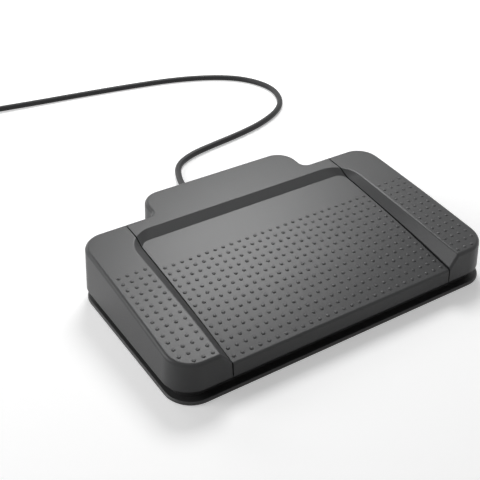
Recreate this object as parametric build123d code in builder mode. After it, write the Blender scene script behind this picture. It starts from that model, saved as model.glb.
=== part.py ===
from build123d import *
from math import cos, dist, hypot, pi, radians, sin, sqrt, tan
import os

os.makedirs("parts", exist_ok=True)

# A three-pedal foot switch, in millimetres.
# Front is -Y, up is +Z, and the origin is on the floor under the middle of the housing.

# Overall body
overall_width = 280.0
overall_depth = 189.2
base_toe = 1.8
bump_reach = 29.1
bump_side_share = 0.526
half_width = overall_width / 2
back_y = overall_depth / 2
front_y = base_toe - back_y
wing_back_y = back_y - bump_reach
bump_half_width = half_width * bump_side_share
front_corner_radius = 21.5
rear_corner_radius = 21.0
bump_corner_radius = 18.8
bump_root_radius = 4.7
overrun = 10.0
running_gap = 0.08
fit_gap = 0.05
seat_gap = 0.3

# Crowned top skin, a shallow arc from front to back
skin_front_height = 33.2
skin_back_height = 49.65
skin_crown = 1.65

# Foot tread, a lower arc inside a dished recess
tread_front_drop = 11.0
tread_back_drop = 4.0
tread_crown = 1.7
tread_setback = 53.0
rim_back_run = 9.0
tread_corner_radius = 8.4
rim_run = 8.5
rim_corner_radius = 23.0

# Pedal caps
seam_share = 0.6957
seam_gap = 1.0
skirt_bottom = 11.4
side_draft_share = 0.07
end_draft_share = 0.05
cap_wall = 2.6
roof_drop = 3.2
edge_round = 2.8
tread_edge_round = 2.0
level_share = 0.2
recess_foot_share = -0.3
recess_top_share = 1.4
rib_thickness = 1.6
rib_depth = 5.0
centre_rib_side_shares = (-0.76, -0.37, 0.0, 0.37, 0.76)
centre_rib_run_shares = (0.44, 0.79)
wing_rib_run_shares = (0.22, 0.5, 0.79)

# Base
mat_thickness = 1.2
mat_inset = 1.0
rim_top = 3.5
rim_bevel = 0.8
shade_inset = 5.5
base_wall = 2.5
base_wall_top = 13.0

# Hinge at the rear, one shaft through the base ears
hinge_setback = 11.5
hinge_z = 22.0
shaft_radius = 2.5
pedal_travel_deg = 2.3
ear_radius = 6.0
plate_share = 0.094
ear_side_gap = 0.5
snap_width = 4.4
wing_ear_shares = (0.226, 0.507)
centre_ear_shares = (0.205, 0.883)
clip_thickness = 0.8
clip_radius = 4.6
clip_bore_radius = 2.1
clip_mouth = 3.2
shaft_end_length = 1.2

# Springs, stops and magnets, one set under each pedal
wing_post_share = 0.484
centre_post_share = 0.565
spring_run_share = 0.36
spring_radius = 4.9
spring_wire = 1.2
spring_turns = 5
spring_bottom = 5.6
spring_sides = 8
spring_roof_drop = 8.0
spring_seat_radius = 6.6
spring_pin_radius = 3.6
spring_pin_height = 3.0
hook_run_share = 0.247
hook_width = 9.0
hook_thickness = 2.0
hook_reach = 4.5
hook_toe_height = 2.0
hook_bottom = 8.6
keeper_bar = 3.0
keeper_height = 2.4
keeper_post = 2.4
keeper_side_gap = 1.5
bumper_run_share = 0.128
bumper_radius = 4.0
bumper_height = 4.0
bumper_post_radius = 3.4
magnet_radius = 3.0
magnet_height = 4.0
magnet_gap = 4.6
magnet_wall = 1.4

# Circuit board
board_end_gap = 2.0
board_front_share = 0.495
board_back_share = 0.673
board_thickness = 1.6
board_bottom = 5.6
board_post_radius = 3.2
board_screw_radius = 1.25
board_screw_head = 2.4
board_screw_head_height = 1.6
board_screw_length = 4.6
board_screw_shares = (-0.77, -0.26, 0.26, 0.77)
board_screw_inset = 5.5
sensor_run_share = 0.578
sensor_size = (4.1, 3.0, 1.5)
chip_size = (7.0, 7.0, 1.2)
chip_x = -18.0
header_size = (12.4, 5.8, 6.0)
header_x = 18.0
header_inset = 5.0

# Ballast plate and its screws
ballast_side_share = 0.8
ballast_front_share = 0.728
ballast_back_share = 0.932
ballast_thickness = 3.0
ballast_corner_radius = 4.0
ballast_screw_inset = 8.0
ballast_screw_radius = 1.5
ballast_screw_head = 2.9
ballast_screw_head_height = 1.9
ballast_screw_length = 4.6
pilot_gap = 0.1

# Cord and its outlet
cord_radius = 3.0
cord_sides = 12
cord_exit_z = 9.5
gate_half_width = 9.0
gate_depth = 4.0
gate_top = 16.0
relief_neck_radius = 4.3
relief_flange_radius = 5.7
relief_flange_thickness = 1.8
relief_root_radius = 5.3
relief_tip_radius = 3.9
relief_length = 27.0
relief_groove_width = 1.6
relief_groove_depth = 0.8
relief_groove_pitch = 4.0
relief_groove_count = 4
skirt_arch_radius = 7.4
clamp_setback = 14.0
clamp_width = 8.0
clamp_half_length = 12.5
clamp_thickness = 3.0
clamp_hump_wall = 2.4
clamp_post_x = 8.8
clamp_screw_radius = 1.25
clamp_screw_head = 2.4
clamp_screw_head_height = 1.6
clamp_screw_length = 7.4
clamp_gap = 0.1
tail_reach = 9.0
lead_radius = 0.55
lead_start_pitch = 1.4
lead_pitch = 2.0
lead_count = 4
lead_straight = 8.0
lead_sides = 12

# The free cord's route over the floor, chosen by hand, from the outlet's tip to the coil
cord_route = [
    (0.0, 0.0, 9.5), (0.0, 14.0, 9.5), (2.0, 33.5, 4.4), (8.0, 54.5, 3.0),
    (18.5, 76.5, 3.0), (40.5, 88.5, 3.0), (70.0, 94.0, 3.0), (103.0, 99.0, 3.0),
    (137.0, 107.5, 3.0), (168.5, 123.5, 3.0), (187.0, 146.0, 3.0), (194.5, 178.0, 3.0),
    (181.5, 212.0, 3.0), (154.5, 235.0, 3.0), (114.0, 253.0, 3.0), (65.0, 264.0, 3.0),
    (12.0, 273.5, 3.0), (-42.0, 281.5, 3.2), (-90.0, 288.4, 4.0),
]

# The put-away length, a flat coil of four layers with the plug on top
coil_reach = (-122.0, 333.0)
coil_outer_radius = 39.7
coil_spacing = 6.7
coil_layers = 4
coil_turns_per_layer = 2
coil_bottom = 4.0
coil_start_deg = -98.0
coil_climb_turns = 0.5
tail_turns = 0.25
tail_radius = 18.0
tail_climb = 8.5
tail_straight = 6.0
stations_per_turn = 4
arc_share = 0.45
near_radii = 8
samples_per_radius = 3
tie_thickness = 0.8
tie_width = 12.0
tie_corner_radius = 3.5
tie_gap = 1.0
tie_angle_deg = 80.0

# Plug
plug_body_length = 30.0
plug_body_width = 16.0
plug_body_height = 8.4
plug_body_round = 2.4
plug_nose_round = 1.2
plug_neck_length = 9.0
plug_neck_radius = 3.7
plug_shell_width = 12.0
plug_shell_height = 4.5
plug_shell_length = 18.8
plug_shell_wall = 0.35
plug_tongue_width = 11.1
plug_tongue_height = 1.7
plug_contact_width = 1.1
plug_contact_height = 0.2
plug_contact_length = 8.0
plug_tongue_setback = 0.6
plug_contact_x = (-3.5, -1.0, 1.0, 3.5)

# Places across the width: the centre pedal's half width and one wing's width set them
seam_half = half_width * seam_share
wing_width = half_width - seam_half
plate_thickness = wing_width * plate_share
wing_ear_x = [seam_half + wing_width * share for share in wing_ear_shares]
centre_ear_x = [seam_half * share for share in centre_ear_shares]
wing_post_x = seam_half + wing_width * wing_post_share
centre_post_x = seam_half * centre_post_share
centre_rib_x = [seam_half * share for share in centre_rib_side_shares]
ballast_half_length = seam_half * ballast_side_share
board_half_length = half_width - shade_inset - base_wall - board_end_gap
board_screw_x = [board_half_length * share for share in board_screw_shares]

# Places from front to back: the run from the pedals' front edge to the hinge sets them
hinge_y = wing_back_y - hinge_setback
tread_back_y = back_y - tread_setback
rim_back_y = tread_back_y + rim_back_run
run_length = hinge_y - front_y
bumper_y = front_y + run_length * bumper_run_share
hook_y = front_y + run_length * hook_run_share
spring_y = front_y + run_length * spring_run_share
board_front_y = front_y + run_length * board_front_share
board_back_y = front_y + run_length * board_back_share
sensor_y = front_y + run_length * sensor_run_share
board_screw_y = board_back_y - board_screw_inset
header_y = board_back_y - header_inset
ballast_front_y = front_y + run_length * ballast_front_share
ballast_back_y = front_y + run_length * ballast_back_share
centre_rib_y = [front_y + run_length * share for share in centre_rib_run_shares]
wing_rib_y = [front_y + run_length * share for share in wing_rib_run_shares]


def blend(low, high, share):
    """Value that lies the given share of the way from low to high."""
    return low + (high - low) * share


def skin_z(y):
    """Height of the crowned top skin at a place along Y."""
    share = (y - front_y) / (back_y - front_y)
    return blend(skin_front_height, skin_back_height, share) + 4 * skin_crown * share * (1 - share)


tread_front_height = skin_front_height - tread_front_drop
tread_back_height = skin_z(tread_back_y) - tread_back_drop


def tread_z(y):
    """Height of the foot tread at a place along Y."""
    share = (y - front_y) / (tread_back_y - front_y)
    return blend(tread_front_height, tread_back_height, share) + 4 * tread_crown * share * (1 - share)


spring_top = tread_z(spring_y) - spring_roof_drop


def body_outline(height, side_inset, end_inset, toe=0):
    """Plan outline of the housing at one height: wings, rear bump and rounded corners."""
    side = half_width - side_inset
    front = front_y + end_inset - toe
    wing_back = wing_back_y - end_inset
    bump_side = bump_half_width - end_inset
    bump_back = back_y - end_inset
    with BuildSketch(Plane.XY.offset(height)) as outline:
        with BuildLine():
            Polyline(
                (-side, front), (side, front), (side, wing_back), (bump_side, wing_back),
                (bump_side, bump_back), (-bump_side, bump_back), (-bump_side, wing_back),
                (-side, wing_back), close=True,
            )
        make_face()
        front_corners = outline.vertices().filter_by(lambda v: v.Y < 0)
        fillet(front_corners, front_corner_radius - side_inset)
        rear_corners = outline.vertices().filter_by(
            lambda v: v.Y > 0 and abs(v.X) > side - overrun
        )
        fillet(rear_corners, rear_corner_radius - side_inset)
        bump_corners = outline.vertices().filter_by(lambda v: v.Y > wing_back + overrun)
        fillet(bump_corners, bump_corner_radius - end_inset)
        bump_roots = outline.vertices().filter_by(
            lambda v: 0 < v.Y < wing_back + bump_root_radius and abs(v.X) < bump_side + overrun
        )
        fillet(bump_roots, bump_root_radius + end_inset)
    return outline.sketch


def profile_below(front_height, back_height, crown, lowered):
    """Block under an arc that runs from the front to the back, as wide as the housing."""
    with BuildPart() as block:
        with BuildSketch(Plane.YZ):
            with BuildLine():
                arc = SagittaArc(
                    (front_y, front_height - lowered), (back_y, back_height - lowered), crown
                )
                Polyline(arc @ 1, (back_y, 0), (front_y, 0), arc @ 0)
            make_face()
        extrude(amount=half_width, both=True)
    return block.part


def housing_block(inset, lowered, reach_below):
    """Housing as one solid block under the top skin, before the recess is cut."""
    top = skin_back_height + overrun
    rise = top - skirt_bottom
    bottom = skirt_bottom - reach_below
    fall = reach_below
    with BuildPart() as block:
        loft(
            [
                body_outline(
                    bottom, inset - fall * side_draft_share, inset - fall * end_draft_share
                ),
                body_outline(
                    top, inset + rise * side_draft_share, inset + rise * end_draft_share
                ),
            ],
            ruled=True,
        )
        add(
            profile_below(skin_front_height, skin_back_height, skin_crown, lowered),
            mode=Mode.INTERSECT,
        )
    return block.part


def recess_section(share):
    """One section across the dished recess: 0 at the tread, 1 at the rim, beyond by the share."""
    rim_front_height = skin_z(front_y)
    rim_back_height = skin_z(rim_back_y)
    bottom_front = blend(tread_front_height, rim_front_height, share)
    bottom_back = blend(tread_back_height, rim_back_height, share)
    section_back_y = blend(tread_back_y, rim_back_y, share)
    half = blend(seam_half, seam_half + rim_run, share)
    corner = blend(tread_corner_radius, rim_corner_radius, share)
    rise = bottom_back - bottom_front
    run = section_back_y - front_y
    length = hypot(rise, run)
    mid_depth = (rim_front_height + rim_back_height - tread_front_height - tread_back_height) / 2
    bow = tread_crown * rim_run / mid_depth
    plane = Plane(
        origin=(0, section_back_y, bottom_back), x_dir=(1, 0, 0), z_dir=(0, -rise, run)
    )
    with BuildSketch(plane) as section:
        with BuildLine():
            Line((-half, -length - overrun), (half, -length - overrun))
            ThreePointArc((half, -length - overrun), (half - bow, -length / 2), (half, 0))
            Line((half, 0), (-half, 0))
            ThreePointArc((-half, 0), (bow - half, -length / 2), (-half, -length - overrun))
        make_face()
        fillet(section.vertices().sort_by(Axis.Y)[-2:], corner)
    return section.sketch


def recess_cutter():
    """Space above the foot tread, with sloping sides and a rounded rear bank."""
    with BuildPart() as cutter:
        loft([recess_section(recess_foot_share), recess_section(recess_top_share)], ruled=True)
        with BuildSketch(Plane.YZ):
            with BuildLine():
                arc = ThreePointArc(
                    (front_y, tread_front_height), (0, tread_z(0)), (rim_back_y, tread_z(rim_back_y))
                )
                Polyline(
                    arc @ 1, (back_y, tread_back_height), (back_y, skin_back_height + overrun),
                    (front_y - overrun, skin_back_height + overrun),
                    (front_y - overrun, tread_front_height), arc @ 0,
                )
            make_face()
        extrude(amount=half_width, both=True, mode=Mode.INTERSECT)
    return cutter.part


def side_zone(inner_x, outer_x):
    """Tall block over all that lies between two places along X."""
    height = skin_back_height + overrun
    with BuildPart() as zone:
        with BuildSketch():
            with Locations(((inner_x + outer_x) / 2, 0)):
                Rectangle(outer_x - inner_x, overall_depth + overrun)
        extrude(amount=height)
    return zone.part


def hinge_plate(places, snaps):
    """Upright plates round the shaft: base ears stand up, pedal lugs hang and snap on."""
    top = skin_back_height if snaps else hinge_z
    bottom = hinge_z if snaps else mat_thickness
    with BuildPart() as plates:
        for place in places:
            with BuildSketch(Plane.YZ.offset(place)):
                with Locations((hinge_y, (top + bottom) / 2)):
                    Rectangle(2 * ear_radius, top - bottom)
                with Locations((hinge_y, hinge_z)):
                    Circle(ear_radius)
                    Circle(shaft_radius + running_gap, mode=Mode.SUBTRACT)
                if snaps:
                    with Locations((hinge_y, hinge_z - ear_radius / 2)):
                        Rectangle(snap_width, ear_radius, mode=Mode.SUBTRACT)
            extrude(amount=plate_thickness / 2, both=True)
    return plates.part


def post(x, y, radius, bottom, top, mode=Mode.ADD):
    """Round post or hole between two heights, for the part that is being built."""
    with BuildSketch(Plane.XY.offset(bottom)) as ring:
        with Locations((x, y)):
            Circle(radius)
    extrude(ring.sketch, amount=top - bottom, mode=mode)


def block(x_low, x_high, y_low, y_high, z_low, z_high, mode=Mode.ADD):
    """Square-edged block between two corners, for the part that is being built."""
    with BuildSketch(Plane.XY.offset(z_low)) as face:
        with Locations(((x_low + x_high) / 2, (y_low + y_high) / 2)):
            Rectangle(x_high - x_low, y_high - y_low)
    extrude(face.sketch, amount=z_high - z_low, mode=mode)


recess = recess_cutter()

# Whole cap moulding, cut into three pedals at the seams
with BuildPart() as whole_cap:
    add(housing_block(0, 0, 0))
    top_skin = whole_cap.faces().filter_by(GeomType.CYLINDER).sort_by(SortBy.AREA)[-1]
    fillet(top_skin.edges(), edge_round)
    add(recess, mode=Mode.SUBTRACT)

with BuildPart() as cap_hollow:
    add(housing_block(cap_wall, roof_drop, skirt_bottom))
    add(recess.moved(Location((0, 0, -roof_drop))), mode=Mode.SUBTRACT)

# Heights that follow from the travel of the pedals
lift = sin(radians(pedal_travel_deg))
front_drop = (hinge_y - front_y) * lift
side_wall_bottom = base_wall_top + front_drop + seat_gap
bumper_post_bottom = rim_top + bumper_height + (hinge_y - bumper_y) * lift + seat_gap
sensor_top = board_bottom + board_thickness + sensor_size[2]
magnet_bottom = sensor_top + magnet_gap
cap_top = skin_back_height + overrun

# Room for the base wall under the pedals' side walls
with BuildPart() as low_hollow:
    add(cap_hollow.part)
    block(
        -half_width, half_width, front_y, back_y, side_wall_bottom, cap_top, mode=Mode.SUBTRACT
    )

# Shallow layer under the roof that the ribs fill
with BuildPart() as rib_layer:
    add(cap_hollow.part)
    add(cap_hollow.part.moved(Location((0, 0, -rib_depth))), mode=Mode.SUBTRACT)
    add(low_hollow.part, mode=Mode.SUBTRACT)

# Slots that let the pedals' side walls pass over the shaft
seam_wall_reach = seam_half + seam_gap / 2 + cap_wall
shaft_slot_radius = shaft_radius + seat_gap
with BuildPart() as shaft_slot:
    with BuildSketch(Plane.YZ):
        with Locations((hinge_y, hinge_z)):
            Circle(shaft_slot_radius)
        with Locations((hinge_y, hinge_z / 2)):
            Rectangle(2 * shaft_slot_radius, hinge_z)
    extrude(amount=seam_wall_reach, both=True)


def pedal_fittings(post_places, magnet_x, lug_places, rib_x, rib_y, inner_x, outer_x):
    """Posts, hooks, magnet holder, hinge lugs and ribs that hang under one pedal."""
    rib_front = front_y + shade_inset + base_wall + cap_wall
    with BuildPart() as ribs:
        for x in rib_x:
            block(
                x - rib_thickness / 2, x + rib_thickness / 2, rib_front, hinge_y - ear_radius,
                0, cap_top,
            )
        for y in rib_y:
            block(inner_x, outer_x, y - rib_thickness / 2, y + rib_thickness / 2, 0, cap_top)
        add(rib_layer.part, mode=Mode.INTERSECT)
    with BuildPart() as fittings:
        for x in post_places:
            post(x, spring_y, spring_seat_radius, spring_top + fit_gap, cap_top)
            post(x, spring_y, spring_pin_radius, spring_top - spring_pin_height, cap_top)
            post(x, bumper_y, bumper_post_radius, bumper_post_bottom, cap_top)
            block(
                x - hook_width / 2, x + hook_width / 2, hook_y, hook_y + hook_thickness,
                hook_bottom, cap_top,
            )
            block(
                x - hook_width / 2, x + hook_width / 2, hook_y - hook_reach, hook_y,
                hook_bottom, hook_bottom + hook_toe_height,
            )
        post(magnet_x, sensor_y, magnet_radius + magnet_wall, magnet_bottom, cap_top)
        add(hinge_plate(lug_places, True))
        add(ribs.part)
        post(
            magnet_x, sensor_y, magnet_radius + fit_gap, magnet_bottom,
            magnet_bottom + magnet_height + fit_gap, Mode.SUBTRACT,
        )
        add(whole_cap.part, mode=Mode.INTERSECT)
    return fittings.part


def pedal_shell(outer_low, outer_high, inner_low, inner_high):
    """One pedal's moulding between its seams, hollow below."""
    with BuildPart() as room:
        add(cap_hollow.part)
        add(side_zone(inner_low, inner_high), mode=Mode.INTERSECT)
    with BuildPart() as shell:
        add(whole_cap.part)
        add(side_zone(outer_low, outer_high), mode=Mode.INTERSECT)
        front_edges = shell.edges().filter_by(lambda e: e.length > edge_round)
        front_edges = front_edges.filter_by(
            lambda e: e.center().Y < front_y + edge_round
            and skirt_bottom + edge_round < e.center().Z < skin_front_height - edge_round
            and abs(e.tangent_at().Y) < level_share
        )
        fillet(front_edges.sort_by(Axis.Z)[-1], tread_edge_round)
        add(room.part, mode=Mode.SUBTRACT)
        add(low_hollow.part, mode=Mode.SUBTRACT)
        add(shaft_slot.part, mode=Mode.SUBTRACT)
    return shell.part


lug_shift = plate_thickness + ear_side_gap
centre_edge = seam_half - seam_gap / 2
wing_edge = seam_half + seam_gap / 2
post_places = (-wing_post_x, -centre_post_x, centre_post_x, wing_post_x)
sensor_places = (-wing_post_x, 0, wing_post_x)

# Centre pedal, with the rear plate and its bump
with BuildPart() as centre_pedal:
    add(pedal_shell(-centre_edge, centre_edge, cap_wall - centre_edge, centre_edge - cap_wall))
    add(pedal_fittings(
        (-centre_post_x, centre_post_x), 0,
        [side * (x + lug_shift) for side in (-1, 1) for x in centre_ear_x],
        centre_rib_x, centre_rib_y, -centre_edge, centre_edge,
    ))
    with BuildSketch(Plane.XZ.offset(-back_y)):
        with Locations((0, cord_exit_z)):
            Circle(skirt_arch_radius)
    extrude(amount=shade_inset, mode=Mode.SUBTRACT)
centre_pedal.part.label = "centre_pedal"

# Right pedal, and the left one as its mirror image
with BuildPart() as right_pedal:
    add(pedal_shell(wing_edge, half_width + overrun, wing_edge + cap_wall, half_width + overrun))
    add(pedal_fittings(
        (wing_post_x,), wing_post_x, [x + lug_shift for x in wing_ear_x],
        (), wing_rib_y, wing_edge, half_width,
    ))
right_pedal.part.label = "right_pedal"

with BuildPart() as left_pedal:
    add(right_pedal.part)
    mirror(about=Plane.YZ, mode=Mode.REPLACE)
left_pedal.part.label = "left_pedal"


# Magnets in their pockets under the pedals
def magnet(x):
    """Round magnet held in one pedal's pocket."""
    with BuildPart() as disc:
        post(x, sensor_y, magnet_radius, magnet_bottom, magnet_bottom + magnet_height)
    return disc.part


with BuildPart() as left_magnet:
    add(magnet(-wing_post_x))
left_magnet.part.label = "left_magnet"

with BuildPart() as centre_magnet:
    add(magnet(0))
centre_magnet.part.label = "centre_magnet"

with BuildPart() as right_magnet:
    add(magnet(wing_post_x))
right_magnet.part.label = "right_magnet"

# Base tray: flange, recessed wall, hinge ears, spring seats, hook keepers and cord gate
gate_back_y = back_y - shade_inset
gate_front_y = gate_back_y - gate_depth
clamp_y = gate_front_y - clamp_setback
tail_end_y = clamp_y - tail_reach
keeper_back_y = hook_y - ear_side_gap
keeper_bottom = hook_bottom + hook_toe_height + seat_gap
keeper_half = hook_width / 2 + keeper_side_gap + keeper_post
saddle_top = cord_exit_z - clamp_gap
ballast_screw_places = [
    (side * (ballast_half_length - ballast_screw_inset), y)
    for side in (-1, 1)
    for y in (ballast_front_y + ballast_screw_inset, ballast_back_y - ballast_screw_inset)
]
board_screw_places = [(x, board_screw_y) for x in board_screw_x]
clamp_screw_places = [(-clamp_post_x, clamp_y), (clamp_post_x, clamp_y)]
ballast_top = rim_top + ballast_thickness
board_top = board_bottom + board_thickness
clamp_top = cord_exit_z + clamp_gap + clamp_thickness


def screw_holes(places, radius, head_seat, length):
    """Pilot holes for a row of screws, for the part that is being built."""
    for x, y in places:
        post(x, y, radius + fit_gap, head_seat - length - pilot_gap, head_seat, Mode.SUBTRACT)


with BuildPart() as base_tray:
    extrude(body_outline(mat_thickness, 0, 0, base_toe), amount=rim_top - mat_thickness)
    chamfer(base_tray.faces().sort_by(Axis.Z)[-1].edges(), rim_bevel)
    wall_height = base_wall_top - rim_top
    wall_inset = shade_inset + base_wall
    extrude(body_outline(rim_top, shade_inset, shade_inset), amount=wall_height)
    extrude(body_outline(rim_top, wall_inset, wall_inset), amount=wall_height, mode=Mode.SUBTRACT)
    add(hinge_plate([side * x for side in (-1, 1) for x in centre_ear_x + wing_ear_x], False))
    for x in post_places:
        post(x, spring_y, spring_seat_radius, rim_top, spring_bottom - fit_gap)
        post(x, spring_y, spring_pin_radius, rim_top, spring_bottom + spring_pin_height)
        block(
            x - keeper_half, x + keeper_half, keeper_back_y - keeper_bar, keeper_back_y,
            rim_top, keeper_bottom + keeper_height,
        )
        block(
            x - keeper_half + keeper_post, x + keeper_half - keeper_post,
            keeper_back_y - keeper_bar, keeper_back_y, rim_top, keeper_bottom, Mode.SUBTRACT,
        )
    for x, y in board_screw_places:
        post(x, y, board_post_radius, rim_top, board_bottom)
    block(
        -clamp_half_length, clamp_half_length, clamp_y - clamp_width / 2,
        clamp_y + clamp_width / 2, rim_top, saddle_top,
    )
    block(-gate_half_width, gate_half_width, gate_front_y, gate_back_y, rim_top, gate_top)
    block(
        -relief_neck_radius - fit_gap, relief_neck_radius + fit_gap, gate_front_y, gate_back_y,
        cord_exit_z, gate_top, Mode.SUBTRACT,
    )
    with BuildSketch(Plane.XZ.offset(-gate_back_y)):
        with Locations((0, cord_exit_z)):
            Circle(relief_neck_radius + fit_gap)
    extrude(amount=gate_depth, mode=Mode.SUBTRACT)
    with BuildSketch(Plane.XZ.offset(-clamp_y)):
        with Locations((0, cord_exit_z)):
            Circle(cord_radius + fit_gap)
    extrude(amount=clamp_width, both=True, mode=Mode.SUBTRACT)
    screw_holes(ballast_screw_places, ballast_screw_radius, ballast_top, ballast_screw_length)
    screw_holes(board_screw_places, board_screw_radius, board_top, board_screw_length)
    screw_holes(clamp_screw_places, clamp_screw_radius, clamp_top, clamp_screw_length)
base_tray.part.label = "base_tray"

# Rubber mat under the base
with BuildPart() as anti_slip_mat:
    extrude(body_outline(0, mat_inset, mat_inset, base_toe), amount=mat_thickness)
anti_slip_mat.part.label = "anti_slip_mat"

# Hinge shaft with a groove and a spring clip near each end
clip_x = wing_ear_x[1] + lug_shift + plate_thickness / 2 + ear_side_gap + clip_thickness / 2
shaft_half_length = clip_x + clip_thickness / 2 + shaft_end_length
with BuildPart() as hinge_shaft:
    with BuildSketch(Plane.YZ):
        with Locations((hinge_y, hinge_z)):
            Circle(shaft_radius)
    extrude(amount=shaft_half_length, both=True)
    for x in (-clip_x, clip_x):
        with BuildSketch(Plane.YZ.offset(x)):
            with Locations((hinge_y, hinge_z)):
                Circle(shaft_radius + overrun)
                Circle(clip_bore_radius - fit_gap, mode=Mode.SUBTRACT)
        extrude(amount=clip_thickness / 2 + fit_gap, both=True, mode=Mode.SUBTRACT)
hinge_shaft.part.label = "hinge_shaft"

with BuildPart() as shaft_clips:
    for x in (-clip_x, clip_x):
        with BuildSketch(Plane.YZ.offset(x)):
            with Locations((hinge_y, hinge_z)):
                Circle(clip_radius)
                Circle(clip_bore_radius, mode=Mode.SUBTRACT)
            with Locations((hinge_y, hinge_z - clip_radius / 2)):
                Rectangle(clip_mouth, clip_radius, mode=Mode.SUBTRACT)
        extrude(amount=clip_thickness / 2, both=True)
shaft_clips.part.label = "shaft_clips"


def screws(places, radius, length, head_radius, head_height, head_seat):
    """A row of pan-head screws standing in their holes."""
    with BuildPart() as row:
        for x, y in places:
            post(x, y, radius, head_seat - length, head_seat)
            post(x, y, head_radius, head_seat, head_seat + head_height)
    return row.part


# Ballast plate that keeps the base on the floor
with BuildPart() as ballast_plate:
    with BuildSketch(Plane.XY.offset(rim_top)):
        with Locations((0, (ballast_front_y + ballast_back_y) / 2)):
            RectangleRounded(
                2 * ballast_half_length, ballast_back_y - ballast_front_y, ballast_corner_radius
            )
    extrude(amount=ballast_thickness)
    screw_holes(ballast_screw_places, ballast_screw_radius, ballast_top, ballast_thickness)
ballast_plate.part.label = "ballast_plate"

with BuildPart() as ballast_screws:
    add(screws(
        ballast_screw_places, ballast_screw_radius, ballast_screw_length, ballast_screw_head,
        ballast_screw_head_height, ballast_top,
    ))
ballast_screws.part.label = "ballast_screws"

# Circuit board and what is soldered to it
with BuildPart() as circuit_board:
    block(
        -board_half_length, board_half_length, board_front_y, board_back_y, board_bottom, board_top
    )
    screw_holes(board_screw_places, board_screw_radius, board_top, board_thickness)
circuit_board.part.label = "circuit_board"

with BuildPart() as board_screws:
    add(screws(
        board_screw_places, board_screw_radius, board_screw_length, board_screw_head,
        board_screw_head_height, board_top,
    ))
board_screws.part.label = "board_screws"


def board_piece(x, y, size):
    """Square-edged package standing on the board, for the part that is being built."""
    width, depth, height = size
    block(
        x - width / 2, x + width / 2, y - depth / 2, y + depth / 2, board_top, board_top + height
    )


with BuildPart() as hall_sensors:
    for x in sensor_places:
        board_piece(x, sensor_y, sensor_size)
hall_sensors.part.label = "hall_sensors"

with BuildPart() as controller_chip:
    board_piece(chip_x, sensor_y, chip_size)
controller_chip.part.label = "controller_chip"

with BuildPart() as cable_header:
    board_piece(header_x, header_y, header_size)
cable_header.part.label = "cable_header"

# Rubber stops that the pedals meet at the end of their travel
with BuildPart() as down_stop_bumpers:
    for x in post_places:
        post(x, bumper_y, bumper_radius, rim_top, rim_top + bumper_height)
down_stop_bumpers.part.label = "down_stop_bumpers"


def coil_line(stations, start_way, end_way):
    """Line of smooth arcs through the stations of a coil, two arcs between neighbours."""
    ways = [(after - before).normalized() for before, after in zip(stations, stations[2:])]
    ways = [start_way] + ways + [end_way]
    with BuildLine() as line:
        for first, last, way_in, way_out in zip(stations, stations[1:], ways, ways[1:]):
            chord = last - first
            both = way_in + way_out
            spread = 4 - both.dot(both)
            along = chord.dot(both)
            reach = (sqrt(along * along + spread * chord.dot(chord)) - along) / spread
            near = first + way_in * reach
            far = last - way_out * reach
            TangentArc(first, (near + far) / 2, tangent=way_in)
            TangentArc((near + far) / 2, last, tangent=(far - near).normalized())
    return line.line


def wire(line, radius, sides):
    """Wire swept along a line with a many-sided section."""
    with BuildPart() as tube:
        with BuildLine():
            add(line)
        with BuildSketch(Plane(origin=line @ 0, z_dir=line % 0)):
            RegularPolygon(radius, sides)
        sweep()
    return tube.part


def spring_line(rise):
    """Middle line of a compression spring that stands on the origin and rises so far."""
    steps = spring_turns * stations_per_turn
    stations = []
    for step in range(steps + 1):
        angle = 2 * pi * step / stations_per_turn
        height = spring_wire / 2 + rise * step / steps
        stations.append(Vector(spring_radius * cos(angle), spring_radius * sin(angle), height))
    climb = rise / steps * stations_per_turn / (2 * pi)
    way = Vector(0, spring_radius, climb).normalized()
    return coil_line(stations, way, way)


# One pedal spring, set four times between its two seats
spring = wire(spring_line(spring_top - spring_bottom - spring_wire), spring_wire / 2, spring_sides)

with BuildPart() as left_spring:
    add(spring.moved(Location((-wing_post_x, spring_y, spring_bottom))), clean=False)
left_spring.part.label = "left_spring"

with BuildPart() as centre_spring_left:
    add(spring.moved(Location((-centre_post_x, spring_y, spring_bottom))), clean=False)
centre_spring_left.part.label = "centre_spring_left"

with BuildPart() as centre_spring_right:
    add(spring.moved(Location((centre_post_x, spring_y, spring_bottom))), clean=False)
centre_spring_right.part.label = "centre_spring_right"

with BuildPart() as right_spring:
    add(spring.moved(Location((wing_post_x, spring_y, spring_bottom))), clean=False)
right_spring.part.label = "right_spring"

# Strain relief, turned about the cord: inner flange, neck in the gate, grooved taper
relief_end_y = gate_back_y + relief_length
with BuildPart() as strain_relief:
    with BuildSketch(Plane(origin=(0, 0, cord_exit_z), x_dir=(0, 1, 0), z_dir=(1, 0, 0))):
        flange_back_y = gate_front_y - fit_gap
        flange_front_y = flange_back_y - relief_flange_thickness
        root_y = gate_back_y + fit_gap
        with BuildLine():
            Polyline(
                (flange_front_y, 0), (flange_front_y, relief_flange_radius),
                (flange_back_y, relief_flange_radius), (flange_back_y, relief_neck_radius),
                (root_y, relief_neck_radius), (root_y, relief_root_radius),
                (relief_end_y, relief_tip_radius), (relief_end_y, 0), close=True,
            )
        make_face()
        for groove in range(relief_groove_count):
            groove_y = root_y + relief_groove_pitch * (groove + 1)
            share = (groove_y - root_y) / (relief_end_y - root_y)
            groove_radius = blend(relief_root_radius, relief_tip_radius, share) - relief_groove_depth
            with Locations((groove_y, groove_radius + relief_root_radius / 2)):
                Rectangle(relief_groove_width, relief_root_radius, mode=Mode.SUBTRACT)
    revolve(axis=Axis((0, 0, cord_exit_z), (0, 1, 0)))
    with BuildSketch(Plane.XZ.offset(-relief_end_y)):
        with Locations((0, cord_exit_z)):
            Circle(cord_radius + fit_gap)
    extrude(amount=relief_length + gate_depth + overrun, mode=Mode.SUBTRACT)
strain_relief.part.label = "strain_relief"

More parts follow.
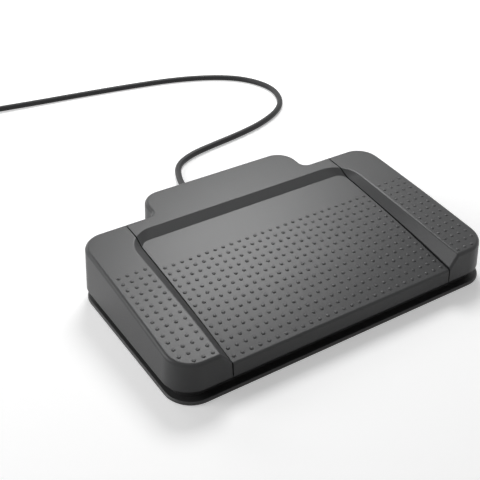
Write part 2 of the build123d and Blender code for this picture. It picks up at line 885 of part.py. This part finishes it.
# Cord inside the housing, its clamp and its leads
with BuildPart() as cord_inner_end:
    with BuildSketch(Plane.XZ.offset(-relief_end_y)):
        with Locations((0, cord_exit_z)):
            Circle(cord_radius)
    extrude(amount=relief_end_y - tail_end_y)
cord_inner_end.part.label = "cord_inner_end"

with BuildPart() as cord_clamp:
    block(
        -clamp_half_length, clamp_half_length, clamp_y - clamp_width / 2,
        clamp_y + clamp_width / 2, cord_exit_z + clamp_gap, clamp_top,
    )
    with BuildSketch(Plane.XZ.offset(-clamp_y)):
        with Locations((0, cord_exit_z)):
            Circle(cord_radius + clamp_hump_wall)
            with Locations((0, clamp_gap - clamp_half_length)):
                Rectangle(2 * clamp_half_length, 2 * clamp_half_length, mode=Mode.SUBTRACT)
    extrude(amount=clamp_width / 2, both=True)
    with BuildSketch(Plane.XZ.offset(-clamp_y)):
        with Locations((0, cord_exit_z)):
            Circle(cord_radius + fit_gap)
    extrude(amount=clamp_width, both=True, mode=Mode.SUBTRACT)
    screw_holes(clamp_screw_places, clamp_screw_radius, clamp_top, clamp_thickness)
cord_clamp.part.label = "cord_clamp"

with BuildPart() as clamp_screws:
    add(screws(
        clamp_screw_places, clamp_screw_radius, clamp_screw_length, clamp_screw_head,
        clamp_screw_head_height, clamp_top,
    ))
clamp_screws.part.label = "clamp_screws"


def corner_radii(points):
    """As large an arc at each corner of a route as its two runs allow."""
    radii = []
    for before, corner, after in zip(points, points[1:], points[2:]):
        run_in = Vector(*corner) - Vector(*before)
        run_out = Vector(*after) - Vector(*corner)
        half_turn = radians(run_in.get_angle(run_out)) / 2
        radii.append(arc_share * min(run_in.length, run_out.length) / tan(half_turn))
    return radii


def routed_line(points):
    """Straight runs joined by tangent arcs."""
    with BuildLine() as line:
        FilletPolyline(*points, radius=corner_radii(points))
    return line.line


with BuildPart() as inner_leads:
    header_back_y = header_y + header_size[1] / 2
    header_mid_z = board_top + header_size[2] / 2
    for lead in range(lead_count):
        place = lead - (lead_count - 1) / 2
        start_x = place * lead_start_pitch
        end_x = header_x + place * lead_pitch
        lead_route = [
            (start_x, tail_end_y, cord_exit_z), (start_x, tail_end_y - lead_straight, cord_exit_z),
            (end_x, header_back_y + lead_straight, header_mid_z),
            (end_x, header_back_y, header_mid_z),
        ]
        add(wire(routed_line(lead_route), lead_radius, lead_sides))
inner_leads.part.label = "inner_leads"


def line_length(line):
    """Length along all the edges of a line."""
    return sum(edge.length for edge in line.edges())


def eased(share):
    """Smooth step from 0 to 1."""
    share = min(max(share, 0), 1)
    return share * share * (3 - 2 * share)


coil_centre = (coil_reach[0], relief_end_y + coil_reach[1])


def coil_place(turns):
    """Middle of the cord after so many turns of the coil."""
    laid = coil_layers * coil_turns_per_layer
    wave = turns % (2 * coil_turns_per_layer)
    inward = min(wave, 2 * coil_turns_per_layer - wave)
    radius = coil_outer_radius - coil_spacing * inward
    height = coil_bottom
    for layer in range(1, coil_layers):
        reversal = layer * coil_turns_per_layer
        height += coil_spacing * eased((turns - reversal) / coil_climb_turns + 1 / 2)
    height += tail_climb * eased((turns - laid) / coil_climb_turns + 1 / 2)
    angle = radians(coil_start_deg) - 2 * pi * turns
    return Vector(
        coil_centre[0] + radius * cos(angle), coil_centre[1] + radius * sin(angle), height
    )


# Where the put-away coil starts and where its end leaves for the plug
all_turns = coil_layers * coil_turns_per_layer + tail_turns
coil_steps = round(all_turns * stations_per_turn)
coil_stations = [coil_place(step / stations_per_turn) for step in range(coil_steps + 1)]
start_angle = radians(coil_start_deg)
end_angle = start_angle - 2 * pi * all_turns
coil_way = Vector(sin(start_angle), -cos(start_angle), 0)
tail_way = Vector(sin(end_angle), -cos(end_angle), 0)
plug_way = Vector(-cos(end_angle), -sin(end_angle), 0)
coil_start = coil_stations[0] - coil_way * tail_straight
tail_turned = coil_stations[-1] + (tail_way + plug_way) * tail_radius
plug_start = tail_turned + plug_way * tail_straight

# Free cord over the floor
cord_points = [(x, relief_end_y + y, z) for x, y, z in cord_route] + [tuple(coil_start)]
cord_line = routed_line(cord_points)
with BuildPart() as cord:
    add(wire(cord_line, cord_radius, cord_sides))
cord.part.label = "cord"

# Put-away length as one tube: a short straight end, the coil, and a turn in towards the plug
with BuildLine() as coil_route:
    Line(coil_start, coil_stations[0])
    add(coil_line(coil_stations, coil_way, tail_way))
    TangentArc(coil_stations[-1], tail_turned, tangent=tail_way)
    Line(tail_turned, plug_start)
with BuildPart() as cord_coil:
    add(wire(coil_route.line, cord_radius, cord_sides))
cord_coil.part.label = "cord_coil"


def least_gap(line, radius):
    """Least space between a wound tube's own turns, on points closer than its radius."""
    step = radius / samples_per_radius
    points = []
    travelled = []
    reached = 0
    for edge in line.edges():
        count = max(2, round(edge.length / step))
        for index in range(count):
            points.append(edge.position_at(index / count))
            travelled.append(reached + edge.length * index / count)
        reached += edge.length
    places = [tuple(point) for point in points]
    least = reached
    for index, place in enumerate(places):
        for other in range(index + 1, len(places)):
            if travelled[other] - travelled[index] > near_radii * radius:
                least = min(least, dist(place, places[other]))
    return least - 2 * radius


section_area = cord_sides / 2 * cord_radius ** 2 * sin(2 * pi / cord_sides)
free_length = line_length(cord_line)
coiled_length = line_length(coil_route.line)
print("cord corner radii", [round(radius) for radius in corner_radii(cord_points)])
print("cord tube over section times length", round(cord.part.volume / section_area / free_length, 4))
print("coil tube over section times length",
      round(cord_coil.part.volume / section_area / coiled_length, 4))
print("coil gap to itself", round(least_gap(coil_route.line, cord_radius), 2))
inside_length = relief_end_y - tail_end_y
print("cord length in all", round(free_length + coiled_length + inside_length))

# Strap round the four layers of the coil
tie_angle = radians(tie_angle_deg)
tie_turns = (coil_start_deg - tie_angle_deg) / 360 % 1
tie_radii = []
for turn in range(coil_layers * coil_turns_per_layer):
    middle = coil_place(turn + tie_turns)
    tie_radii.append(hypot(middle.X - coil_centre[0], middle.Y - coil_centre[1]))
tie_inner = min(tie_radii) - cord_radius - tie_gap
tie_outer = max(tie_radii) + cord_radius + tie_gap
tie_room = coil_bottom - cord_radius - tie_thickness
tie_low = coil_bottom - cord_radius - tie_room
tie_high = coil_bottom + coil_spacing * (coil_layers - 1) + cord_radius + tie_room
tie_plane = Plane(
    origin=(coil_centre[0], coil_centre[1], 0), x_dir=(cos(tie_angle), sin(tie_angle), 0),
    z_dir=(sin(tie_angle), -cos(tie_angle), 0),
)
with BuildPart() as cord_tie:
    with BuildSketch(tie_plane):
        with Locations(((tie_inner + tie_outer) / 2, (tie_low + tie_high) / 2)):
            RectangleRounded(
                tie_outer - tie_inner + 2 * tie_thickness, tie_high - tie_low + 2 * tie_thickness,
                tie_corner_radius + tie_thickness,
            )
            RectangleRounded(
                tie_outer - tie_inner, tie_high - tie_low, tie_corner_radius, mode=Mode.SUBTRACT
            )
    extrude(amount=tie_width / 2, both=True)
cord_tie.part.label = "cord_tie"

# Plug lying on the coil, built along the way that the cord's end points
plug_side = Vector(plug_way.Y, -plug_way.X, 0)


def plug_plane(distance):
    """Plane square to the plug, that far along it."""
    return Plane(origin=plug_start + plug_way * distance, x_dir=plug_side, z_dir=plug_way)


plug_body_end = plug_neck_length + plug_body_length
with BuildPart() as plug_body:
    with BuildSketch(plug_plane(plug_neck_length)):
        RectangleRounded(plug_body_width, plug_body_height, plug_body_round)
    extrude(amount=plug_body_length)
    end_faces = plug_body.faces().filter_by(
        lambda f: abs(f.normal_at().dot(plug_way)) > 1 - level_share
    )
    fillet(end_faces.edges(), plug_nose_round)
    with BuildSketch(plug_plane(0)):
        Circle(plug_neck_radius)
    extrude(amount=plug_neck_length + plug_nose_round)
plug_body.part.label = "plug_body"

with BuildPart() as plug_shell:
    with BuildSketch(plug_plane(plug_body_end)):
        Rectangle(plug_shell_width, plug_shell_height)
        Rectangle(
            plug_shell_width - 2 * plug_shell_wall, plug_shell_height - 2 * plug_shell_wall,
            mode=Mode.SUBTRACT,
        )
    extrude(amount=plug_shell_length)
plug_shell.part.label = "plug_shell"

tongue_top = plug_shell_height / 2 - plug_shell_wall
tongue_bottom = tongue_top - plug_tongue_height
with BuildPart() as plug_tongue:
    with BuildSketch(plug_plane(plug_body_end)):
        with Locations((0, (tongue_top + tongue_bottom) / 2)):
            Rectangle(plug_tongue_width, plug_tongue_height)
    extrude(amount=plug_shell_length - plug_tongue_setback)
plug_tongue.part.label = "plug_tongue"

contact_start = plug_body_end + plug_shell_length - 2 * plug_tongue_setback - plug_contact_length
with BuildPart() as plug_contacts:
    with BuildSketch(plug_plane(contact_start)):
        for x in plug_contact_x:
            with Locations((x, tongue_bottom - plug_contact_height / 2)):
                Rectangle(plug_contact_width, plug_contact_height)
    extrude(amount=plug_contact_length)
plug_contacts.part.label = "plug_contacts"

pieces = (
    base_tray, anti_slip_mat, ballast_plate, ballast_screws, hinge_shaft, shaft_clips,
    left_pedal, centre_pedal, right_pedal, left_magnet, centre_magnet, right_magnet,
    left_spring, centre_spring_left, centre_spring_right, right_spring, down_stop_bumpers,
    circuit_board, controller_chip, hall_sensors, cable_header, board_screws,
    strain_relief, cord_inner_end, cord_clamp, clamp_screws, inner_leads,
    cord, cord_coil, cord_tie, plug_body, plug_shell, plug_tongue, plug_contacts,
)
for piece in pieces:
    export_step(piece.part, f"parts/{piece.part.label}.step")
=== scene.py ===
import bpy
from math import cos, pi, radians, sin
from mathutils import Matrix, Vector


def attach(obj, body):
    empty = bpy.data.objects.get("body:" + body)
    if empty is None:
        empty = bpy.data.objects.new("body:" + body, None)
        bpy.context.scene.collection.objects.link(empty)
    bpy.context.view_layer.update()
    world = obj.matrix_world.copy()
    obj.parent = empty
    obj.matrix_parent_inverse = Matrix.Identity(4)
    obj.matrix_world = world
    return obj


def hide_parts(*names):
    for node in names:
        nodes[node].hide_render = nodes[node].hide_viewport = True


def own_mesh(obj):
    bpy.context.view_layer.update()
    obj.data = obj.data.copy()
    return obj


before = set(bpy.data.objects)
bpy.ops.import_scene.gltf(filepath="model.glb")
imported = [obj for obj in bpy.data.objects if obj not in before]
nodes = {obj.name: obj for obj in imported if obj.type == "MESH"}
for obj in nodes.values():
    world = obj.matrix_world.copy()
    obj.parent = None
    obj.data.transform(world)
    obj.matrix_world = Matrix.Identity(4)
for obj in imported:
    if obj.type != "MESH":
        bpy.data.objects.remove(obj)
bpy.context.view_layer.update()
mm = 0.001  # sizes and places are in mm, unless a note says otherwise
print("stage: frame loaded,", len(nodes), "nodes")


def deselectAll():
    if bpy.context.mode != "OBJECT":
        bpy.ops.object.mode_set(mode="OBJECT")
    bpy.ops.object.select_all(action="DESELECT")


def putInScene(name, data):
    placed = bpy.data.objects.new(name, data)
    bpy.context.scene.collection.objects.link(placed)
    return placed


# camera, fitted to the photograph's perspective
view = {
    "place": (-328.88, -467.53, 421.10),
    "yaw": -32.339,  # degrees, as the next two
    "pitch": -34.162,
    "roll": -0.321,
    "lens": 66.56,
    "sensorWidth": 36,
}


def makeCamera():
    yaw, pitch, roll = (radians(view[key]) for key in ("yaw", "pitch", "roll"))
    forward = Vector((-sin(yaw) * cos(pitch), cos(yaw) * cos(pitch), sin(pitch)))
    right = forward.cross(Vector((0, 0, 1))).normalized()
    up = right.cross(forward)
    tiltedRight = right * cos(roll) + up * sin(roll)
    tiltedUp = up * cos(roll) - right * sin(roll)
    data = bpy.data.cameras.new("camera")
    data.lens = view["lens"]
    data.sensor_width = view["sensorWidth"]
    camera = putInScene("camera", data)
    turned = Matrix((tiltedRight, tiltedUp, -forward)).transposed()
    camera.matrix_world = Matrix.Translation(Vector(view["place"]) * mm) @ turned.to_4x4()
    bpy.context.scene.camera = camera


makeCamera()
print("stage: camera")


# the free cord: its listed route, then the turns of the put-away coil
cordSpec = {
    "radius": 3.0,
    "length": 2.414,  # m, from the strain relief to the plug
    "tipY": 116.1,  # the strain relief's tip, from which the places below count
    "route": [
        (0.0, 0.0, 9.5), (0.0, 14.0, 9.5), (2.0, 33.5, 4.4), (8.0, 54.5, 3.0),
        (18.5, 76.5, 3.0), (40.5, 88.5, 3.0), (70.0, 94.0, 3.0), (103.0, 99.0, 3.0),
        (137.0, 107.5, 3.0), (168.5, 123.5, 3.0), (187.0, 146.0, 3.0), (194.5, 178.0, 3.0),
        (181.5, 212.0, 3.0), (154.5, 235.0, 3.0), (114.0, 253.0, 3.0), (65.0, 264.0, 3.0),
        (12.0, 273.5, 3.0), (-42.0, 281.5, 3.2), (-90.0, 288.4, 4.0),
    ],
    "coilMiddle": (-122.0, 333.0),
    "outerRadius": 39.7,
    "spacing": 6.7,  # from turn to turn and from layer to layer
    "layers": 4,
    "turnsPerLayer": 2,
    "bottom": 4.0,
    "startAngle": -98.0,  # degrees
    "climbTurns": 0.5,  # how much of a turn a climb to the next layer takes
    "tailTurns": 0.25,
    "tailRadius": 18.0,
    "tailClimb": 8.5,
    "tailStraight": 6.0,
    "tailBend": (22.5, 45.0, 67.5),  # degrees, the points inside the tail's quarter turn
    "pointsPerTurn": 24,
    "curveOrder": 3,
    "stepsAlong": 8,
    "stepsRound": 5,
}


def easedStep(share):
    share = min(max(share, 0), 1)
    return share * share * (3 - 2 * share)


def coilPlace(turns):
    # each layer is wound inwards or outwards in turn, and the cord climbs at its end
    spec = cordSpec
    laid = spec["layers"] * spec["turnsPerLayer"]
    wave = turns % (2 * spec["turnsPerLayer"])
    inward = min(wave, 2 * spec["turnsPerLayer"] - wave)
    radius = spec["outerRadius"] - spec["spacing"] * inward
    height = spec["bottom"]
    for layer in range(1, spec["layers"]):
        reversal = layer * spec["turnsPerLayer"]
        height += spec["spacing"] * easedStep((turns - reversal) / spec["climbTurns"] + 0.5)
    height += spec["tailClimb"] * easedStep((turns - laid) / spec["climbTurns"] + 0.5)
    angle = radians(spec["startAngle"]) - 2 * pi * turns
    x = spec["coilMiddle"][0] + radius * cos(angle)
    y = spec["tipY"] + spec["coilMiddle"][1] + radius * sin(angle)
    return Vector((x, y, height))


def cordPoints():
    # the route, a straight run on to the coil, its turns, and the tail across it to the plug
    spec = cordSpec
    start = radians(spec["startAngle"])
    allTurns = spec["layers"] * spec["turnsPerLayer"] + spec["tailTurns"]
    end = start - 2 * pi * allTurns
    points = [Vector((x, spec["tipY"] + y, z)) for x, y, z in spec["route"]]
    points.append(coilPlace(0) - Vector((sin(start), -cos(start), 0)) * spec["tailStraight"])
    steps = round(allTurns * spec["pointsPerTurn"])
    points += [coilPlace(step / spec["pointsPerTurn"]) for step in range(steps + 1)]
    along = Vector((sin(end), -cos(end), 0))
    inward = Vector((-cos(end), -sin(end), 0))
    last = points[-1]
    reach = spec["tailRadius"]
    for turn in spec["tailBend"]:
        swing = radians(turn)
        points.append(last + (along * sin(swing) + inward * (1 - cos(swing))) * reach)
    turned = last + (along + inward) * reach
    points.append(turned)
    points.append(turned + inward * spec["tailStraight"])
    return points


def makeCord(material):
    data = bpy.data.curves.new("usbCord", "CURVE")
    data.dimensions = "3D"
    data.bevel_depth = cordSpec["radius"] * mm
    data.bevel_resolution = cordSpec["stepsRound"]
    data.resolution_u = cordSpec["stepsAlong"]
    data.use_fill_caps = True
    points = cordPoints()
    spline = data.splines.new("NURBS")
    spline.points.add(len(points) - 1)
    for target, place in zip(spline.points, points):
        target.co = (place.x * mm, place.y * mm, place.z * mm, 1)
    spline.order_u = cordSpec["curveOrder"]
    spline.use_endpoint_u = True
    data.materials.append(material)
    cord = putInScene("usbCord", data)
    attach(cord, "base")
    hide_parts("cord", "cord_coil")


# materials: soft patches of tone, and a fine grain that is felt and seen in the gloss
plasticGrain = {
    "patchScale": 14,
    "patchDetail": 3,
    "patchContrast": 0.08,
    "fineDetail": 2,
    "bumpStrength": 0.6,
    "roughnessSpread": 0.06,
}
metalGrain = {
    "fineDetail": 4,
    "darkest": 0.88,
    "lightest": 1.08,
    "smoother": 0.08,
    "rougher": 0.1,
}


def newMaterial(name):
    material = bpy.data.materials.new(name)
    material.use_nodes = True
    tree = material.node_tree
    return material, tree, tree.nodes["Principled BSDF"]


def addNoise(tree, scale, detail):
    coordinates = tree.nodes.new("ShaderNodeTexCoord")
    noise = tree.nodes.new("ShaderNodeTexNoise")
    noise.inputs["Scale"].default_value = scale
    noise.inputs["Detail"].default_value = detail
    tree.links.new(coordinates.outputs["Object"], noise.inputs["Vector"])
    return noise.outputs["Fac"]


def addTones(tree, factor, colour, darkest, lightest):
    tones = tree.nodes.new("ShaderNodeMix")
    tones.data_type = "RGBA"
    for socket, amount in (("A", darkest), ("B", lightest)):
        tone = [min(1, channel * amount) for channel in colour]
        tones.inputs[socket].default_value = tone + [1]
    tree.links.new(factor, tones.inputs["Factor"])
    return tones.outputs["Result"]


def addRange(tree, factor, low, high, start=0, end=1):
    spread = tree.nodes.new("ShaderNodeMapRange")
    spread.inputs["From Min"].default_value = start
    spread.inputs["From Max"].default_value = end
    spread.inputs["To Min"].default_value = low
    spread.inputs["To Max"].default_value = high
    tree.links.new(factor, spread.inputs["Value"])
    return spread.outputs["Result"]


def mouldedPlastic(name, colour, roughness, grain, depth, edge=0, gloss=0.5):
    material, tree, shader = newMaterial(name)
    shader.inputs["Specular IOR Level"].default_value = gloss
    patches = addNoise(tree, plasticGrain["patchScale"], plasticGrain["patchDetail"])
    contrast = plasticGrain["patchContrast"]
    tones = addTones(tree, patches, colour, 1 - contrast, 1 + contrast)
    tree.links.new(tones, shader.inputs["Base Color"])
    fine = addNoise(tree, grain, plasticGrain["fineDetail"])
    spread = plasticGrain["roughnessSpread"]
    tree.links.new(addRange(tree, fine, roughness - spread, roughness + spread),
                   shader.inputs["Roughness"])
    bump = tree.nodes.new("ShaderNodeBump")
    bump.inputs["Strength"].default_value = plasticGrain["bumpStrength"]
    bump.inputs["Distance"].default_value = depth * mm
    tree.links.new(fine, bump.inputs["Height"])
    tree.links.new(bump.outputs["Normal"], shader.inputs["Normal"])
    if edge:  # the radius of a moulded edge
        soft = tree.nodes.new("ShaderNodeBevel")
        soft.inputs["Radius"].default_value = edge * mm
        tree.links.new(soft.outputs["Normal"], bump.inputs["Normal"])
    return material


def plainMetal(name, colour, roughness, grain):
    material, tree, shader = newMaterial(name)
    shader.inputs["Metallic"].default_value = 1
    fine = addNoise(tree, grain, metalGrain["fineDetail"])
    tones = addTones(tree, fine, colour, metalGrain["darkest"], metalGrain["lightest"])
    tree.links.new(tones, shader.inputs["Base Color"])
    low, high = roughness - metalGrain["smoother"], roughness + metalGrain["rougher"]
    tree.links.new(addRange(tree, fine, low, high), shader.inputs["Roughness"])
    return material


finishes = {
    "pedal": mouldedPlastic("pedalPlastic", (0.0352, 0.0358, 0.0371), roughness=0.38,
                            grain=2600, depth=0.06, edge=0.5, gloss=0.37),
    "base": mouldedPlastic("basePlastic", (0.0456, 0.0456, 0.0462), roughness=0.45,
                           grain=1800, depth=0.05, edge=0.3, gloss=0.37),
    "mat": mouldedPlastic("matRubber", (0.012, 0.012, 0.012), roughness=0.8,
                          grain=900, depth=0.1),
    "cord": mouldedPlastic("cordSheath", (0.014, 0.014, 0.015), roughness=0.46,
                           grain=1500, depth=0.02, gloss=0.3),
    "lead": mouldedPlastic("leadSheath", (0.35, 0.03, 0.02), roughness=0.4,
                           grain=1500, depth=0.01),
    "board": mouldedPlastic("boardLaminate", (0.02, 0.11, 0.04), roughness=0.35,
                            grain=700, depth=0.02),
    "chip": mouldedPlastic("chipResin", (0.015, 0.015, 0.017), roughness=0.6,
                           grain=2500, depth=0.02),
    "header": mouldedPlastic("headerNylon", (0.72, 0.69, 0.6), roughness=0.45,
                             grain=1200, depth=0.01),
    "tongue": mouldedPlastic("tonguePlastic", (0.7, 0.7, 0.68), roughness=0.5,
                             grain=1200, depth=0.01),
    "zinc": plainMetal("zincSteel", (0.55, 0.56, 0.58), roughness=0.42, grain=220),
    "screw": plainMetal("screwSteel", (0.6, 0.6, 0.61), roughness=0.35, grain=600),
    "shaft": plainMetal("shaftSteel", (0.6, 0.6, 0.61), roughness=0.25, grain=400),
    "spring": plainMetal("springSteel", (0.5, 0.5, 0.52), roughness=0.3, grain=500),
    "nickel": plainMetal("magnetNickel", (0.7, 0.68, 0.62), roughness=0.22, grain=500),
    "plated": plainMetal("plugSteel", (0.75, 0.75, 0.77), roughness=0.2, grain=300),
    "gold": plainMetal("contactBrass", (0.83, 0.62, 0.24), roughness=0.25, grain=500),
}
worn = {
    "base_tray": "base", "anti_slip_mat": "mat", "ballast_plate": "zinc",
    "ballast_screws": "screw", "hinge_shaft": "shaft", "shaft_clips": "spring",
    "left_pedal": "pedal", "centre_pedal": "pedal", "right_pedal": "pedal",
    "left_magnet": "nickel", "centre_magnet": "nickel", "right_magnet": "nickel",
    "left_spring": "spring", "centre_spring_left": "spring", "centre_spring_right": "spring",
    "right_spring": "spring", "down_stop_bumpers": "mat", "circuit_board": "board",
    "controller_chip": "chip", "hall_sensors": "chip", "cable_header": "header",
    "board_screws": "screw", "strain_relief": "cord", "cord_inner_end": "cord",
    "cord_clamp": "base", "clamp_screws": "screw", "inner_leads": "lead", "cord_tie": "base",
    "plug_body": "cord", "plug_shell": "plated", "plug_tongue": "tongue",
    "plug_contacts": "gold",
}
for nodeName, finish in worn.items():
    part = nodes[nodeName]
    part.data.materials.clear()
    part.data.materials.append(finishes[finish])
print("stage: materials")

makeCord(finishes["cord"])
print("stage: cord")


# the return springs, which shorten as their pedals go down: here each is a copy of its CAD
# coil, kept on the base; the joint is its pedal's hinge
springs = {
    "left_spring": {"piece": "leftSpring", "joint": "left_pedal_hinge"},
    "centre_spring_left": {"piece": "centreSpringLeft", "joint": "centre_pedal_hinge"},
    "centre_spring_right": {"piece": "centreSpringRight", "joint": "centre_pedal_hinge"},
    "right_spring": {"piece": "rightSpring", "joint": "right_pedal_hinge"},
}


def makeSpring(nodeName, piece):
    # the CAD spring's own coil, copied as its own mesh and attached to the base
    spring = putInScene(piece, nodes[nodeName].data.copy())
    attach(spring, "base")
    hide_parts(nodeName)
    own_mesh(spring)


for springNode, spec in springs.items():
    makeSpring(springNode, spec["piece"])
print("stage: springs")


# raised dots on the treads
dots = {
    "radius": 1.55,
    "height": 0.56,
    "sink": 0.1,
    "segments": 14,
    "rings": 8,
    "smoothAngle": 60,  # degrees
    "pitchX": 7.17,
    "pitchY": 7.26,
    "backY": 7.8,
    "rows": 14,
    "centreColumns": 27,
    "wingColumns": (109.2, 116.4, 123.6, 130.7),
    "dropFrom": 200.0,  # a height well above the pedals
}


def makeDome():
    # a low dome cut from a sphere, modelled once
    deselectAll()
    bpy.ops.mesh.primitive_uv_sphere_add(
        segments=dots["segments"], ring_count=dots["rings"], radius=dots["radius"] * mm)
    dome = bpy.context.object
    bpy.ops.object.mode_set(mode="EDIT")
    bpy.ops.mesh.select_all(action="SELECT")
    bpy.ops.mesh.bisect(plane_co=(0, 0, 0), plane_no=(0, 0, 1), use_fill=True, clear_inner=True)
    bpy.ops.mesh.select_all(action="SELECT")
    bpy.ops.transform.resize(value=(1, 1, dots["height"] / dots["radius"]),
                             center_override=(0, 0, 0))
    bpy.ops.object.mode_set(mode="OBJECT")
    return dome


def placeOnTop(target, x, y):
    # where a plumb line meets the pedal's top, and the way that it faces there
    above = Vector((x * mm, y * mm, dots["dropFrom"] * mm))
    return target.ray_cast(above, Vector((0, 0, -1)))[1:3]


def makeDots(name, pedal, places, dome, material):
    copies = []
    for x, y in places:
        place, normal = placeOnTop(nodes[pedal], x, y)
        data = dome.data.copy()
        lean = normal.to_track_quat("Z", "Y").to_matrix().to_4x4()
        data.transform(Matrix.Translation(place - normal * dots["sink"] * mm) @ lean)
        copies.append(putInScene(name, data))
    deselectAll()
    for copy in copies:
        copy.select_set(True)
    bpy.context.view_layer.objects.active = copies[0]
    bpy.ops.object.join()
    joined = bpy.context.object
    joined.name = name
    joined.data.materials.clear()
    joined.data.materials.append(material)
    bpy.ops.object.shade_smooth_by_angle(angle=radians(dots["smoothAngle"]))
    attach(joined, pedal)


dome = makeDome()
middle = (dots["centreColumns"] - 1) / 2
centreColumns = [(column - middle) * dots["pitchX"] for column in range(dots["centreColumns"])]
rows = [dots["backY"] - row * dots["pitchY"] for row in range(dots["rows"])]
centrePlaces = [(x, y) for x in centreColumns for y in rows]
wingPlaces = [(x, y) for x in dots["wingColumns"] for y in rows]
wingPlaces.pop()  # the wing's rounded front corner has no dot
leftPlaces = [(-x, y) for x, y in wingPlaces]
makeDots("centreDots", "centre_pedal", centrePlaces, dome, finishes["pedal"])
makeDots("rightDots", "right_pedal", wingPlaces, dome, finishes["pedal"])
makeDots("leftDots", "left_pedal", leftPlaces, dome, finishes["pedal"])
bpy.data.objects.remove(dome)
print("stage: dots")


# floor, background and lamps, in metres
studio = {
    "floorSize": 8.0,
    "floorColour": (0.86, 0.86, 0.86, 1),
    "floorRoughness": 0.7,
    "nearGlow": 0.453,
    "farGlow": 1.0,
    "glowFrom": 0.3,  # from the middle, where the glow starts to rise
    "glowTo": 0.8,
}
lamps = {
    "key": {"place": (0.385, 0.56, 0.86), "size": 0.45, "power": 6.18},
    "sheen": {"place": (-0.35, 1.7, 0.75), "size": 1.1, "power": 5.99},
    "fill": {"place": (-1.35, 0.65, 0.8), "size": 1.2, "power": 11.89},
}


def addBackgroundRays(tree):
    # 1 for a ray that shows the background, straight or by way of gloss or glass
    paths = tree.nodes.new("ShaderNodeLightPath")
    shown = paths.outputs["Is Camera Ray"]
    for kind in ("Is Glossy Ray", "Is Transmission Ray"):
        either = tree.nodes.new("ShaderNodeMath")
        either.operation = "MAXIMUM"
        tree.links.new(shown, either.inputs[0])
        tree.links.new(paths.outputs[kind], either.inputs[1])
        shown = either.outputs["Value"]
    return shown


def makeFloor():
    # pale paint, whose glow turns it white towards the horizon and keeps the near shadow
    deselectAll()
    bpy.ops.mesh.primitive_plane_add(size=studio["floorSize"], location=(0, 0, 0))
    floor = bpy.context.object
    floor.name = "floor"
    material, tree, shader = newMaterial("floorPaint")
    shader.inputs["Base Color"].default_value = studio["floorColour"]
    shader.inputs["Roughness"].default_value = studio["floorRoughness"]
    shader.inputs["Emission Color"].default_value = (1, 1, 1, 1)
    coordinates = tree.nodes.new("ShaderNodeTexCoord")
    reach = tree.nodes.new("ShaderNodeVectorMath")
    reach.operation = "LENGTH"
    tree.links.new(coordinates.outputs["Object"], reach.inputs[0])
    strength = addRange(tree, reach.outputs["Value"], studio["nearGlow"], studio["farGlow"],
                        studio["glowFrom"], studio["glowTo"])
    glow = tree.nodes.new("ShaderNodeMath")
    glow.operation = "MULTIPLY"
    tree.links.new(addBackgroundRays(tree), glow.inputs[0])
    tree.links.new(strength, glow.inputs[1])
    tree.links.new(glow.outputs["Value"], shader.inputs["Emission Strength"])
    floor.data.materials.append(material)


def makeWorld():
    world = bpy.data.worlds.new("studio")
    bpy.context.scene.world = world
    world.use_nodes = True
    tree = world.node_tree
    background = tree.nodes["Background"]
    background.inputs["Color"].default_value = (1, 1, 1, 1)
    tree.links.new(addBackgroundRays(tree), background.inputs["Strength"])


def makeLamp(name, spec):
    data = bpy.data.lights.new(name, "AREA")
    data.shape = "DISK"
    data.size = spec["size"]
    data.energy = spec["power"]
    lamp = putInScene(name, data)
    place = Vector(spec["place"])
    lamp.matrix_world = (Matrix.Translation(place)
                         @ (-place).to_track_quat("-Z", "Y").to_matrix().to_4x4())


makeFloor()
makeWorld()
for lampName, spec in lamps.items():
    makeLamp(lampName, spec)
bpy.context.scene.view_settings.view_transform = "Standard"
print("stage: studio")
